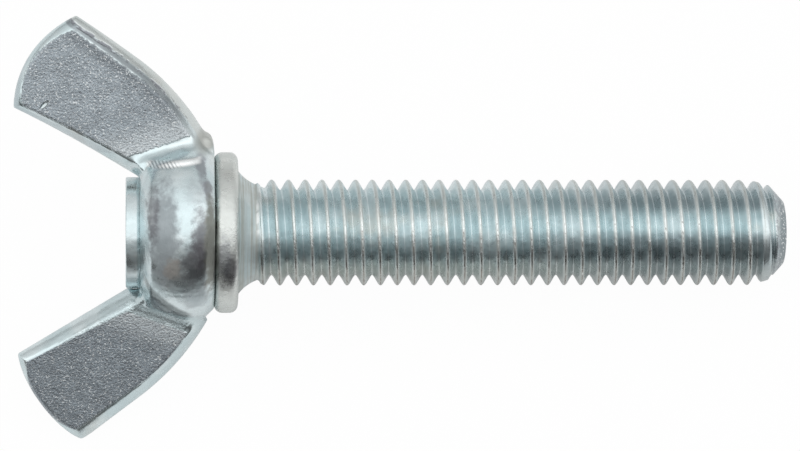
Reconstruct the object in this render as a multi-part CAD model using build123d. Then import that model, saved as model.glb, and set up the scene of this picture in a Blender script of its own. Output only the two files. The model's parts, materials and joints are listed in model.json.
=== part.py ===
from build123d import *
import os
from math import asin, atan2, cos, degrees, hypot, pi, radians, sin, tan

# Wing screw, M8 x 1.25, 40 mm nominal length, zinc plated steel, riveted from two pieces.
# Sizes are in millimetres. The pieces are built along +X, from the bearing face of the
# collar (x = 0) towards the point, with the wings in the XY plane. They are laid down last.

# ---- thread ----
thread_diameter = 7.89
thread_pitch = 1.25
thread_depth = 0.632 * thread_pitch
crest_flat = 0.13 * thread_pitch
thread_angle = 60.0
thread_start = 0.07
shank_length = 40.8
runout_length = 1.2
taper_length = 1.42
taper_diameter = 7.12
chamfer_length = 1.05
point_diameter = 4.8

# ---- neck and collar ----
blank_diameter = 7.2
neck_diameter = 9.3
neck_length = 1.3
neck_radius = 3.0
collar_diameter = 11.95
collar_thickness = 1.75
collar_rounding = 0.6

# ---- rivet: the spigot through the hub and its upset end ----
spigot_diameter = 7.2
spigot_clearance = 0.02
rivet_diameter = 8.24
rivet_thickness = 1.05
rivet_rounding = 0.12
rivet_seat_clearance = 0.08

# ---- hub ----
hub_height = 5.5
hub_diameter = 13.7
hub_base_diameter = 11.8
hub_shoulder_diameter = 13.1
hub_crown_diameter = 12.3
hub_top_diameter = 8.7
shoulder_height = 0.67
cone_height = 0.77
hub_eccentricity = 0.26

# ---- wings: the parting line, from the bearing face and the hub's axis ----
tip_inner = (-16.4, 9.5)
tip_outer = (-11.8, 16.25)
tip_bulge = 1.2
outer_bend = (-7.0, 12.55)
outer_root = (-2.2, 6.85)
outer_root_bulge = 0.36
inner_root = (-7.0, 3.78)

# ---- wings: thickness and draft ----
tip_half_thickness = 0.95
root_half_thickness = 1.8
tip_draft = 0.35
inner_draft_at_tip = 0.55
inner_draft_at_root = 1.05
outer_draft = 0.95

# ---- flare that climbs in a hollow from each wing face to the hub: its foot on the face ----
flare_foot_inner = (-8.23, hub_diameter / 2 - 1.08)
flare_foot_outer = (-3.57, hub_diameter / 2 + 0.52)
flare_hollow = 1.1
flare_draft = 5.0
flare_height_inner = 2.5
flare_height_outer = 2.4

# ---- flash left at the hub's base by the trimming, on the +Y side only ----
flash_corners = [(-3.2, 6.2), (-2.39, 7.28), (-1.91, 6.95)]
flash_base = 6.2
flash_half_thickness = 1.3

# Sizes that follow from the ones above.
root_radius = thread_diameter / 2 - thread_depth
crest_radius = thread_diameter / 2
blank_radius = blank_diameter / 2
hub_base_x = -collar_thickness
hub_top_x = hub_base_x - hub_height
rivet_end_x = hub_top_x - rivet_thickness
bore_radius = spigot_diameter / 2 + spigot_clearance
chamfer_x = shank_length - chamfer_length
taper_x = chamfer_x - taper_length
runout_end_x = neck_length + runout_length


def turned(points):
    """Solid of revolution about the X axis from a closed outline of (x, radius) points."""
    outline = Polyline(*[(x, r) for x, r in points], close=True)
    return revolve(make_face(outline), axis=Axis.X, revolution_arc=360)


def thread_profile():
    """One pitch of the thread in its axial plane, as (along, radius) from the crest's start."""
    crest_end = crest_flat / 2
    root_start = crest_end + thread_depth * tan(radians(thread_angle / 2))
    return [
        (-crest_end, crest_radius),
        (crest_end, crest_radius),
        (root_start, root_radius),
        (thread_pitch - root_start, root_radius),
        (thread_pitch - crest_end, crest_radius),
    ]


def helix_at(place, turn):
    """One turn of the right-hand helix through a place on the profile, about the Z axis."""
    along, radius = place
    start = (0, 0, along + turn * thread_pitch)
    return Helix(pitch=thread_pitch, height=thread_pitch, radius=radius, center=start).edge()


def strip(p, q, turn):
    """Crest, flank or root of one turn: the surface between the helices of two places."""
    return Face.make_surface_from_curves(helix_at(p, turn), helix_at(q, turn))


def rod_end(profile, turn):
    """Ramp from the axis to the first helix of a turn, and the half section that closes it."""
    low = profile[0][0] + turn * thread_pitch
    high = low + thread_pitch
    axis_line = Line((0, 0, low), (0, 0, high)).edge()
    ramp = Face.make_surface_from_curves(axis_line, helix_at(profile[0], turn))
    rim = [(radius, 0, along + turn * thread_pitch) for along, radius in profile]
    section = make_face(Polyline((0, 0, low), *rim, (0, 0, high), close=True))
    return [ramp, section.faces()[0]]


def thread_envelope():
    """What the thread may fill: it rises out of the neck, tapers and ends in a chamfer."""
    beyond = 0.3
    runout_rise = runout_length / (crest_radius - blank_radius)
    taper_rise = taper_length / (crest_radius - taper_diameter / 2)
    buried_x = neck_length / 2
    return turned(
        [
            (buried_x, 0),
            (buried_x, blank_radius - (neck_length - buried_x) / runout_rise),
            (runout_end_x + beyond * runout_rise, crest_radius + beyond),
            (taper_x - beyond * taper_rise, crest_radius + beyond),
            (chamfer_x, taper_diameter / 2),
            (shank_length, point_diameter / 2),
            (shank_length, 0),
        ]
    )


def threaded_rod():
    """Crest, flanks and root of every turn, with the two ends, closed into one solid."""
    profile = thread_profile()
    first_x = thread_start - 2 * thread_pitch
    turns = int((shank_length - first_x) / thread_pitch) + 2
    sides = list(zip(profile, profile[1:]))
    skin = [strip(p, q, turn) for turn in range(turns) for p, q in sides]
    rod = Solid(Shell(skin + rod_end(profile, 0) + rod_end(profile, turns)))
    along_x = Rot(90, 0, 0) * Rot(0, 90, 0)
    return Pos(first_x, 0, 0) * along_x * rod & thread_envelope()


def collar_and_neck():
    """Spigot, collar and neck, turned as one piece, with the run-out of the groove."""
    neck_start = (0, neck_diameter / 2)
    neck_end = (neck_length, blank_radius)
    under_root = 0.05
    outline = Polyline(
        (runout_end_x, 0),
        (hub_top_x, 0),
        (hub_top_x, spigot_diameter / 2),
        (hub_base_x, spigot_diameter / 2),
        (hub_base_x, collar_diameter / 2),
        (0, collar_diameter / 2),
        neck_start,
    )
    hollow = RadiusArc(neck_start, neck_end, -neck_radius)
    runout = Polyline(neck_end, (runout_end_x, root_radius - under_root), (runout_end_x, 0))
    body = revolve(make_face([outline, hollow, runout]), axis=Axis.X)
    rims = body.edges().filter_by(GeomType.CIRCLE).sort_by(lambda e: -e.radius)[0:2]
    return fillet(rims, collar_rounding)


def rivet_end():
    disc = turned(
        [
            (hub_top_x, 0),
            (rivet_end_x, 0),
            (rivet_end_x, rivet_diameter / 2),
            (hub_top_x, rivet_diameter / 2),
        ]
    )
    rims = disc.edges().filter_by(GeomType.CIRCLE)
    return fillet(rims.sort_by(Axis.X)[0], rivet_rounding)


def build_stem():
    return threaded_rod() + collar_and_neck() + rivet_end()


def meeting(p, p_end, q, q_end):
    """Where the line through p and p_end meets the line through q and q_end."""
    dx, dy = p_end[0] - p[0], p_end[1] - p[1]
    ex, ey = q_end[0] - q[0], q_end[1] - q[1]
    share = ((q[0] - p[0]) * ey - (q[1] - p[1]) * ex) / (dx * ey - dy * ex)
    return (p[0] + share * dx, p[1] + share * dy)


def moved_right(p, q, by_p, by_q):
    """The line from p to q, moved to its right by one distance at each end."""
    length = hypot(q[0] - p[0], q[1] - p[1])
    right = ((q[1] - p[1]) / length, -(q[0] - p[0]) / length)
    return (
        (p[0] + right[0] * by_p, p[1] + right[1] * by_p),
        (q[0] + right[0] * by_q, q[1] + right[1] * by_q),
    )


def face_corners():
    """Corners of the flat face: the parting line drawn in by the draft of each wall."""
    tip = moved_right(tip_inner, tip_outer, tip_draft, tip_draft)
    inner = moved_right(inner_root, tip_inner, inner_draft_at_root, inner_draft_at_tip)
    outer = moved_right(tip_outer, outer_bend, outer_draft, outer_draft)
    bend = moved_right(outer_bend, outer_root, outer_draft, outer_draft)
    return {
        "tip_inner": meeting(*tip, *inner),
        "tip_outer": meeting(*tip, *outer),
        "outer_bend": meeting(*outer, *bend),
        "outer_root": bend[1],
        "inner_root": inner[0],
    }


def face_height(x, y, corners):
    """Height of the flat face over the parting plane: it falls evenly from root to tip."""
    ax, ay = corners["tip_inner"]
    bx, by = corners["tip_outer"]
    length = hypot(bx - ax, by - ay)
    inward = ((by - ay) / length, -(bx - ax) / length)
    here = (x - ax) * inward[0] + (y - ay) * inward[1]
    root = (flare_foot_inner[0] - ax) * inward[0] + (flare_foot_inner[1] - ay) * inward[1]
    slope = (root_half_thickness - tip_half_thickness) / root
    return tip_half_thickness + slope * here


def bulged(p, q, bulge):
    """Middle point of an arc from p to q that bulges to its left."""
    length = hypot(q[0] - p[0], q[1] - p[1])
    left = (-(q[1] - p[1]) / length, (q[0] - p[0]) / length)
    return ((p[0] + q[0]) / 2 + left[0] * bulge, (p[1] + q[1]) / 2 + left[1] * bulge)


def wing_section(corners, height):
    """One closed section of a wing, at the height given for each of its points."""
    a, b = corners["tip_inner"], corners["tip_outer"]
    c, d, e = corners["outer_bend"], corners["outer_root"], corners["inner_root"]

    def at(point):
        return (point[0], point[1], height(*point))

    tip = ThreePointArc(at(a), at(bulged(a, b, tip_bulge)), at(b))
    outer = Line(at(b), at(c))
    bend = ThreePointArc(at(c), at(bulged(c, d, outer_root_bulge)), at(d))
    root = Line(at(d), at(e))
    inner = Line(at(e), at(a))
    return make_face([tip, outer, bend, root, inner])


def wing():
    """The wing on the +Y side: walls that bulge from the parting line to each flat face."""
    middle = {
        "tip_inner": tip_inner,
        "tip_outer": tip_outer,
        "outer_bend": outer_bend,
        "outer_root": outer_root,
        "inner_root": inner_root,
    }
    face = face_corners()
    upper = wing_section(face, lambda x, y: face_height(x, y, face))
    lower = wing_section(face, lambda x, y: -face_height(x, y, face))
    return loft([lower, wing_section(middle, lambda x, y: 0), upper])


def foot_plane():
    """On the upper face of the +Y wing: x along the flare's foot, y out to the wing's tip."""
    face = face_corners()
    inner = Vector(*flare_foot_inner, face_height(*flare_foot_inner, face))
    outer = Vector(*flare_foot_outer, face_height(*flare_foot_outer, face))
    a = Vector(*face["tip_inner"], face_height(*face["tip_inner"], face))
    along = (outer - inner).normalized()
    upward = along.cross(a - inner).normalized()
    return Plane(origin=inner, x_dir=along, z_dir=upward), (outer - inner).length


def flare():
    """Block under the climb from the upper face of the +Y wing to the barrel of the hub."""
    buried = bore_radius + 0.3
    buried_inner = (hub_top_x + cone_height, buried)
    buried_outer = (hub_base_x - shoulder_height, buried)
    past_at_outer, past_at_inner = 0.1, 0.3
    past_foot = moved_right(flare_foot_outer, flare_foot_inner, past_at_outer, past_at_inner)
    plan = [past_foot[1], past_foot[0], buried_outer, buried_inner]
    x_run = flare_foot_outer[0] - flare_foot_inner[0]
    slope = (flare_height_outer - flare_height_inner) / x_run

    def top_height(x):
        return flare_height_inner + slope * (x - flare_foot_inner[0])

    base = [(x, y, 0) for x, y in plan]
    top = [(x, y, top_height(x)) for x, y in plan]
    levels = [make_face(Polyline(*level, close=True)) for level in (base, top)]
    return loft(levels, ruled=True)


def flare_hollow_cut():
    """The space over the upper face of the +Y wing that the hub and the flare keep clear of."""
    foot, foot_length = foot_plane()
    sunk = 0.03
    clear = 2 * hub_height
    lean = radians(flare_draft)
    halfway = (pi / 2 + lean) / 2
    centre_height = flare_hollow - sunk
    arc_foot = (0, -sunk)
    arc_middle = (
        -flare_hollow * cos(halfway),
        centre_height - flare_hollow * sin(halfway),
    )
    arc_end = (-flare_hollow * cos(lean), centre_height - flare_hollow * sin(lean))
    wall_top = (arc_end[0] - clear * tan(lean), arc_end[1] + clear)
    hollow = ThreePointArc(arc_foot, arc_middle, arc_end)
    rest = Polyline(arc_end, wall_top, (clear, wall_top[1]), (clear, -sunk), arc_foot)
    start = foot.origin - foot.x_dir * clear
    across = Plane(origin=start, x_dir=foot.y_dir, z_dir=foot.x_dir)
    return extrude(across * make_face([hollow, rest]), amount=foot_length + 2 * clear)


def trimming_flash():
    """Lump where the outer edge of the +Y wing meets the base of the hub."""
    buried = bore_radius + 1
    outline = flash_corners + [(hub_base_x, flash_base), (hub_base_x, buried)]
    outline += [(flash_corners[0][0], buried)]
    lump = make_face(Polyline(*outline, close=True))
    return Pos(0, 0, -flash_half_thickness) * extrude(lump, amount=2 * flash_half_thickness)


def hub():
    """Barrel with a shoulder below and a cone on top."""
    crown_x = hub_top_x + cone_height
    shoulder_x = hub_base_x - shoulder_height
    middle_x = (crown_x + shoulder_x) / 2
    lower = Polyline(
        (hub_top_x, 0),
        (hub_base_x, 0),
        (hub_base_x, hub_base_diameter / 2),
        (shoulder_x, hub_shoulder_diameter / 2),
    )
    barrel = ThreePointArc(
        (shoulder_x, hub_shoulder_diameter / 2),
        (middle_x, hub_diameter / 2),
        (crown_x, hub_crown_diameter / 2),
    )
    upper = Polyline(
        (crown_x, hub_crown_diameter / 2),
        (hub_top_x, hub_top_diameter / 2),
        (hub_top_x, 0),
    )
    return revolve(make_face([lower, barrel, upper]), axis=Axis.X)


def mirrored(piece, *planes):
    """The piece and its copies mirrored about each plane in turn."""
    copies = [piece]
    for plane in planes:
        copies += [mirror(copy, about=plane) for copy in copies]
    return copies


def build_head():
    body = hub() + mirrored(flare(), Plane.XY, Plane.XZ)
    body -= mirrored(flare_hollow_cut(), Plane.XY, Plane.XZ)
    body += mirrored(wing(), Plane.XZ) + [trimming_flash()]
    body = Pos(0, hub_eccentricity, 0) * body
    bore = Rot(0, 90, 0) * Cylinder(bore_radius, 4 * hub_height)
    seat_radius = rivet_diameter / 2 + rivet_seat_clearance
    seat = Rot(0, 90, 0) * Cylinder(seat_radius, hub_height)
    return body - bore - Pos(hub_top_x - hub_height / 2, 0, 0) * seat


def laid_down(pieces):
    """The screw as it comes to rest on a flat surface: on its point, hub and one wing tip."""
    crown_x = hub_top_x + cone_height
    shoulder_x = hub_base_x - shoulder_height
    end_radius = (hub_crown_diameter + hub_shoulder_diameter) / 4
    rise = hub_diameter / 2 - end_radius
    half_width = (shoulder_x - crown_x) / 2
    barrel_arc = (half_width**2 + rise**2) / (2 * rise)
    barrel_x = (crown_x + shoulder_x) / 2
    corner = face_corners()["tip_outer"]
    reach = corner[1] - hub_eccentricity
    roll = 0.0
    for _ in range(8):
        ahead = taper_x - barrel_x
        arc_centre = barrel_arc - hub_diameter / 2 + hub_eccentricity * sin(roll)
        above = arc_centre + crest_radius
        pitch = asin(barrel_arc / hypot(ahead, above)) - atan2(above, ahead)
        floor = -crest_radius / cos(pitch) - (taper_x - corner[0]) * tan(pitch)
        lean = atan2(tip_half_thickness, reach)
        roll = asin(-floor / hypot(reach, tip_half_thickness)) - lean
    turned_down = [Rot(0, degrees(pitch), 0) * Rot(degrees(roll), 0, 0) * p for p in pieces]
    box = turned_down[0].bounding_box().add(turned_down[1].bounding_box())
    to_origin = Pos(-box.center().X, -box.center().Y, -box.min.Z)
    print("pitch", round(degrees(pitch), 3), "roll", round(degrees(roll), 3))
    return [to_origin * p for p in turned_down]


if __name__ == "__main__":
    os.makedirs("parts", exist_ok=True)
    stem, head = laid_down([build_stem(), build_head()])
    export_step(stem, "parts/threaded_stem.step")
    export_step(head, "parts/wing_head.step")
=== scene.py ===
import bpy
import bmesh
import json
import numpy as np
from math import cos, pi, radians, sin, sqrt, tan
from mathutils import Matrix, Vector


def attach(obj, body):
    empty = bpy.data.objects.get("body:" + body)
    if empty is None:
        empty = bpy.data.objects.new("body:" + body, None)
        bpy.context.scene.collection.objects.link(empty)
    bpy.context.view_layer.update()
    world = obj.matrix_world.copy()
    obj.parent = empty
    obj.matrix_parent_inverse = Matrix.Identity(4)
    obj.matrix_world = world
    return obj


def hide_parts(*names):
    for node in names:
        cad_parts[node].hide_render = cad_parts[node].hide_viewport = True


# Wing screw lying on a pale floor. All forms are made in millimetres in the screw's own
# axes: x runs from the bearing face of the collar to the point, the wings lie in the
# xy plane, and SCREW lays the finished form down in the frame, in metres.

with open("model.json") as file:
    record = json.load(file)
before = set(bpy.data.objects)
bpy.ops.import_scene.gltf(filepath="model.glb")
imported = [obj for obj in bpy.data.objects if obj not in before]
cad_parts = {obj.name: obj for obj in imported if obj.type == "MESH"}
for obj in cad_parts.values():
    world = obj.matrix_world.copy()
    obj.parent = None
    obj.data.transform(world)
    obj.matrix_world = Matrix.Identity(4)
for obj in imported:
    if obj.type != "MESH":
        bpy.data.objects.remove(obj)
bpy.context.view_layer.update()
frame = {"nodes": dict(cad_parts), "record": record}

MM = 0.001

# ---- sizes of the stem, in millimetres ----
THREAD_RADIUS = 3.945
THREAD_PITCH = 1.25
THREAD_DEPTH = 0.79
FLANK_ANGLE = 60.0
CREST_FLAT = 0.22
CREST_ROUNDING = 0.3
ROOT_ROUNDING = 0.28
THREAD_START = 0.07
SHANK_LENGTH = 40.8
RUNOUT_LENGTH = 0.7
RUNOUT_BLEND = 0.05
TAPER_LENGTH = 1.42
TAPER_RADIUS = 3.56
TAPER_BLEND = 0.06
CHAMFER_LENGTH = 1.05
CHAMFER_BLEND = 0.1
POINT_RADIUS = 2.4
BLANK_RADIUS = 3.6
NECK_LENGTH = 1.3
NECK_START_RADIUS = 4.65
NECK_HOLLOW = 3.0
# How steeply the neck's form falls away under the first ridge.
NECK_FALL = 0.41
COLLAR_RADIUS = 5.975
COLLAR_THICKNESS = 1.75
COLLAR_ROUNDING = 0.6
HUB_HEIGHT = 5.5
RIVET_RADIUS = 4.12
RIVET_THICKNESS = 1.05
RIVET_ROUNDING = 0.12
ROOT_RADIUS = THREAD_RADIUS - THREAD_DEPTH

# ---- fineness of the stem ----
STEPS_PER_TURN = 120
# Turns wound besides those of the thread itself: before its start and past the point.
SPARE_TURNS = 3
ROWS_PER_PITCH = 16
# Rows lie closer together on crests and roots than on flanks, by this share.
ROW_CROWDING = 0.6
RIM_STEPS = 8
CORNER_STEPS = 4
DISC_RINGS = (0.3, 0.6, 0.85)
EDGE_RINGS = (0.4, 0.7)
WELD_DISTANCE = 0.0004
SEAM_DISTANCE = 0.004


# ------------------------------------------------------------------ where the screw lies


def screw_axes():
    """Matrix from the screw's own axes in millimetres to the frame in metres."""
    mounts = {m["name"]: m for m in frame["record"]["mounts"]}
    along = Vector(mounts["thread"]["axis"]).normalized()
    on_axis = Vector(mounts["thread"]["pos_m"])
    on_face = Vector(mounts["bearing_face"]["pos_m"])
    centre = on_axis + along * (on_face - on_axis).dot(along)
    upright = (on_face - centre).normalized()
    across = upright.cross(along)
    turn = Matrix((along, across, upright)).transposed()
    return Matrix.Translation(centre) @ turn.to_4x4() @ Matrix.Scale(MM, 4)


SCREW = screw_axes()


def laid_down(obj):
    """Moves a form made in the screw's axes to its place in the frame."""
    obj.data.transform(SCREW)
    obj.data.update()
    return obj


def put_in_scene(name, mesh):
    """New object of a mesh, in the scene."""
    obj = bpy.data.objects.new(name, mesh)
    bpy.context.scene.collection.objects.link(obj)
    return obj


def evaluated_mesh(obj):
    """Plain mesh of an object with its modifiers done."""
    view = bpy.context.evaluated_depsgraph_get()
    return bpy.data.meshes.new_from_object(obj.evaluated_get(view), depsgraph=view)


# ------------------------------------------------------------------ node helpers


def socket_into(tree, target, value):
    """Links a socket to a node's input, or sets the input where the value is plain."""
    if isinstance(value, bpy.types.NodeSocket):
        tree.links.new(value, target)
    elif value is not None:
        target.default_value = value


def add_node(tree, kind, inputs=None, **settings):
    """New node with its settings; inputs maps an input's name or number to a value."""
    made = tree.nodes.new(kind)
    for key, value in settings.items():
        setattr(made, key, value)
    for key, value in (inputs or {}).items():
        socket_into(tree, made.inputs[key], value)
    return made


def reckon(tree, operation, first, second=None, third=None):
    """A Math node's result, from sockets or plain numbers."""
    made = tree.nodes.new("ShaderNodeMath")
    made.operation = operation
    for target, value in zip(made.inputs, (first, second, third)):
        socket_into(tree, target, value)
    return made.outputs[0]


# ------------------------------------------------------------------ thread and neck


THREAD_SIZES = (
    "Pitch",
    "Crest Radius",
    "Root Radius",
    "Half Crest",
    "Flank Slope",
    "Crest Rounding",
    "Root Rounding",
    "Start",
    "Length",
    "Neck Length",
    "Neck Hollow",
    "Neck Fall",
    "Hollow Centre X",
    "Hollow Centre Radius",
    "Blank Radius",
    "Runout Slope",
    "Runout Blend",
    "Taper Start",
    "Taper Slope",
    "Taper Blend",
    "Chamfer Start",
    "Chamfer Radius",
    "Chamfer Slope",
    "Chamfer Blend",
    "Turns",
    "Row Shift",
    "Weld Distance",
)
THREAD_COUNTS = ("Vertices Along", "Vertices Across")


def falling_radius(tree, x, radius, start, slope):
    """A radius that falls at a slope from a start along the axis."""
    past = reckon(tree, "SUBTRACT", x, start)
    return reckon(tree, "SUBTRACT", radius, reckon(tree, "MULTIPLY", past, slope))


def ridge_radius(tree, given, x, phase):
    """Radius of the ridge: crest, flanks and root, cut by run-out, taper and chamfer."""
    off_crest = reckon(tree, "MULTIPLY", reckon(tree, "ABSOLUTE", phase), given["Pitch"])
    past_flat = reckon(tree, "SUBTRACT", off_crest, given["Half Crest"])
    drop = reckon(tree, "DIVIDE", past_flat, given["Flank Slope"])
    flank = reckon(tree, "SUBTRACT", given["Crest Radius"], drop)
    capped = reckon(tree, "SMOOTH_MIN", flank, given["Crest Radius"], given["Crest Rounding"])
    ridge = reckon(tree, "SMOOTH_MAX", capped, given["Root Radius"], given["Root Rounding"])

    past_neck = reckon(tree, "SUBTRACT", x, given["Neck Length"])
    runout = reckon(tree, "MULTIPLY_ADD", past_neck, given["Runout Slope"], given["Blank Radius"])
    taper = falling_radius(tree, x, given["Crest Radius"], given["Taper Start"], given["Taper Slope"])
    chamfer = falling_radius(
        tree, x, given["Chamfer Radius"], given["Chamfer Start"], given["Chamfer Slope"]
    )
    ridge = reckon(tree, "SMOOTH_MIN", ridge, runout, given["Runout Blend"])
    ridge = reckon(tree, "SMOOTH_MIN", ridge, taper, given["Taper Blend"])
    return reckon(tree, "SMOOTH_MIN", ridge, chamfer, given["Chamfer Blend"])


def neck_radius(tree, given, x):
    """Radius of the hollowed neck, which falls away under the thread past its end."""
    hollow_x = reckon(tree, "MINIMUM", x, given["Neck Length"])
    to_centre = reckon(tree, "SUBTRACT", hollow_x, given["Hollow Centre X"])
    square = reckon(tree, "MULTIPLY", to_centre, to_centre)
    hollow_square = reckon(tree, "MULTIPLY", given["Neck Hollow"], given["Neck Hollow"])
    under = reckon(tree, "SQRT", reckon(tree, "SUBTRACT", hollow_square, square))
    hollow = reckon(tree, "SUBTRACT", given["Hollow Centre Radius"], under)
    past_neck = reckon(tree, "MAXIMUM", reckon(tree, "SUBTRACT", x, given["Neck Length"]), 0.0)
    return reckon(tree, "SUBTRACT", hollow, reckon(tree, "MULTIPLY", past_neck, given["Neck Fall"]))


def thread_tree():
    """Grid wound into the whole skin of neck, run-out, thread and point.

    The grid's rows follow the helix. Its long side counts turns, its short side is one
    pitch, from root to root over the crest.
    """
    tree = bpy.data.node_groups.new("wound_thread", "GeometryNodeTree")
    face = tree.interface
    face.new_socket("Geometry", in_out="OUTPUT", socket_type="NodeSocketGeometry")
    for name in THREAD_SIZES:
        face.new_socket(name, in_out="INPUT", socket_type="NodeSocketFloat")
    for name in THREAD_COUNTS:
        face.new_socket(name, in_out="INPUT", socket_type="NodeSocketInt")
    face.new_socket("Material", in_out="INPUT", socket_type="NodeSocketMaterial")
    given = tree.nodes.new("NodeGroupInput").outputs
    result = tree.nodes.new("NodeGroupOutput")

    grid = add_node(
        tree,
        "GeometryNodeMeshGrid",
        {
            "Size X": given["Turns"],
            "Size Y": 1.0,
            "Vertices X": given["Vertices Along"],
            "Vertices Y": given["Vertices Across"],
        },
    )
    place = add_node(tree, "GeometryNodeInputPosition")
    split = add_node(tree, "ShaderNodeSeparateXYZ", {0: place.outputs[0]})

    half_turns = reckon(tree, "MULTIPLY", given["Turns"], 0.5)
    turn = reckon(tree, "ADD", split.outputs["X"], half_turns)
    wave = reckon(tree, "SINE", reckon(tree, "MULTIPLY", split.outputs["Y"], 4 * pi))
    share = reckon(tree, "MULTIPLY_ADD", wave, given["Row Shift"], split.outputs["Y"])
    pitches = reckon(tree, "ADD", turn, share)
    free_x = reckon(tree, "MULTIPLY_ADD", pitches, given["Pitch"], given["Start"])
    x = reckon(tree, "MAXIMUM", reckon(tree, "MINIMUM", free_x, given["Length"]), 0.0)
    from_start = reckon(tree, "SUBTRACT", x, given["Start"])
    phase = reckon(tree, "SUBTRACT", reckon(tree, "DIVIDE", from_start, given["Pitch"]), turn)
    phase = reckon(tree, "WRAP", phase, 0.5, -0.5)

    ridge = ridge_radius(tree, given, x, phase)
    radius = reckon(tree, "MAXIMUM", ridge, neck_radius(tree, given, x))
    angle = reckon(tree, "MULTIPLY", turn, 2 * pi)
    y = reckon(tree, "MULTIPLY", radius, reckon(tree, "COSINE", angle))
    z = reckon(tree, "MULTIPLY", radius, reckon(tree, "SINE", angle))
    wound = add_node(tree, "ShaderNodeCombineXYZ", {"X": x, "Y": y, "Z": z})

    keep = add_node(
        tree,
        "GeometryNodeStoreNamedAttribute",
        {"Geometry": grid.outputs["Mesh"], "Name": "off_crest"},
        data_type="FLOAT",
        domain="POINT",
    )
    socket_into(tree, keep.inputs["Value"], phase)
    move = add_node(
        tree,
        "GeometryNodeSetPosition",
        {"Geometry": keep.outputs["Geometry"], "Position": wound.outputs[0]},
    )
    weld = add_node(
        tree,
        "GeometryNodeMergeByDistance",
        {"Geometry": move.outputs[0], "Distance": given["Weld Distance"]},
    )
    smooth = add_node(tree, "GeometryNodeSetShadeSmooth", {"Geometry": weld.outputs[0]})
    real = add_node(tree, "GeometryNodeRealizeInstances", {"Geometry": smooth.outputs[0]})
    coated = add_node(
        tree,
        "GeometryNodeSetMaterial",
        {"Geometry": real.outputs[0], "Material": given["Material"]},
    )
    tree.links.new(coated.outputs[0], result.inputs["Geometry"])
    return tree


def neck_hollow_centre():
    """Centre of the arc that hollows the neck, as (x, radius)."""
    chord = Vector((NECK_LENGTH, BLANK_RADIUS - NECK_START_RADIUS))
    middle = Vector((NECK_LENGTH / 2, (BLANK_RADIUS + NECK_START_RADIUS) / 2))
    outward = Vector((-chord.y, chord.x)).normalized()
    reach = sqrt(NECK_HOLLOW**2 - (chord.length / 2) ** 2)
    return middle + outward * reach


def wound_thread(material):
    """Mesh of the thread's skin in the screw's axes, open at both ends."""
    holder = put_in_scene("thread_skin", bpy.data.meshes.new("thread_skin"))
    tree = thread_tree()
    turns = int((SHANK_LENGTH - THREAD_START) / THREAD_PITCH) + SPARE_TURNS
    centre = neck_hollow_centre()
    values = {
        "Pitch": THREAD_PITCH,
        "Crest Radius": THREAD_RADIUS,
        "Root Radius": ROOT_RADIUS,
        "Half Crest": CREST_FLAT / 2,
        "Flank Slope": tan(radians(FLANK_ANGLE / 2)),
        "Crest Rounding": CREST_ROUNDING,
        "Root Rounding": ROOT_ROUNDING,
        "Start": THREAD_START - THREAD_PITCH,
        "Length": SHANK_LENGTH,
        "Neck Length": NECK_LENGTH,
        "Neck Hollow": NECK_HOLLOW,
        "Neck Fall": NECK_FALL,
        "Hollow Centre X": centre.x,
        "Hollow Centre Radius": centre.y,
        "Blank Radius": BLANK_RADIUS,
        "Runout Slope": (THREAD_RADIUS - BLANK_RADIUS) / RUNOUT_LENGTH,
        "Runout Blend": RUNOUT_BLEND,
        "Taper Start": SHANK_LENGTH - CHAMFER_LENGTH - TAPER_LENGTH,
        "Taper Slope": (THREAD_RADIUS - TAPER_RADIUS) / TAPER_LENGTH,
        "Taper Blend": TAPER_BLEND,
        "Chamfer Start": SHANK_LENGTH - CHAMFER_LENGTH,
        "Chamfer Radius": TAPER_RADIUS,
        "Chamfer Slope": (TAPER_RADIUS - POINT_RADIUS) / CHAMFER_LENGTH,
        "Chamfer Blend": CHAMFER_BLEND,
        "Turns": float(turns),
        "Row Shift": -ROW_CROWDING / (4 * pi),
        "Weld Distance": WELD_DISTANCE,
        "Vertices Along": turns * STEPS_PER_TURN + 1,
        "Vertices Across": ROWS_PER_PITCH + 1,
        "Material": material,
    }
    modifier = holder.modifiers.new("wound_thread", "NODES")
    modifier.node_group = tree
    for item in tree.interface.items_tree:
        if item.in_out == "INPUT":
            modifier[item.identifier] = values[item.name]
    mesh = evaluated_mesh(holder)
    bpy.data.objects.remove(holder)
    return mesh


# ------------------------------------------------------------------ turned ends of the stem


def arc_points(centre, radius, first, last, count):
    """Points on an arc about centre, from angle first to last, in degrees."""
    angles = [radians(first + (last - first) * i / count) for i in range(count + 1)]
    return [(centre[0] + radius * cos(a), centre[1] + radius * sin(a)) for a in angles]


def revolved(mesh, outline):
    """Adds the outline of (x, radius) points, turned about the x axis, to a bmesh."""
    rings = []
    for x, radius in outline:
        if radius == 0:
            rings.append([mesh.verts.new((x, 0, 0))])
            continue
        angles = [2 * pi * i / STEPS_PER_TURN for i in range(STEPS_PER_TURN)]
        rings.append([mesh.verts.new((x, radius * cos(a), radius * sin(a))) for a in angles])
    for ring, after in zip(rings, rings[1:]):
        for i in range(STEPS_PER_TURN):
            j = (i + 1) % STEPS_PER_TURN
            if len(ring) == 1:
                mesh.faces.new((ring[0], after[i], after[j]))
            elif len(after) == 1:
                mesh.faces.new((ring[i], after[0], ring[j]))
            else:
                mesh.faces.new((ring[i], after[i], after[j], ring[j]))


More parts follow.
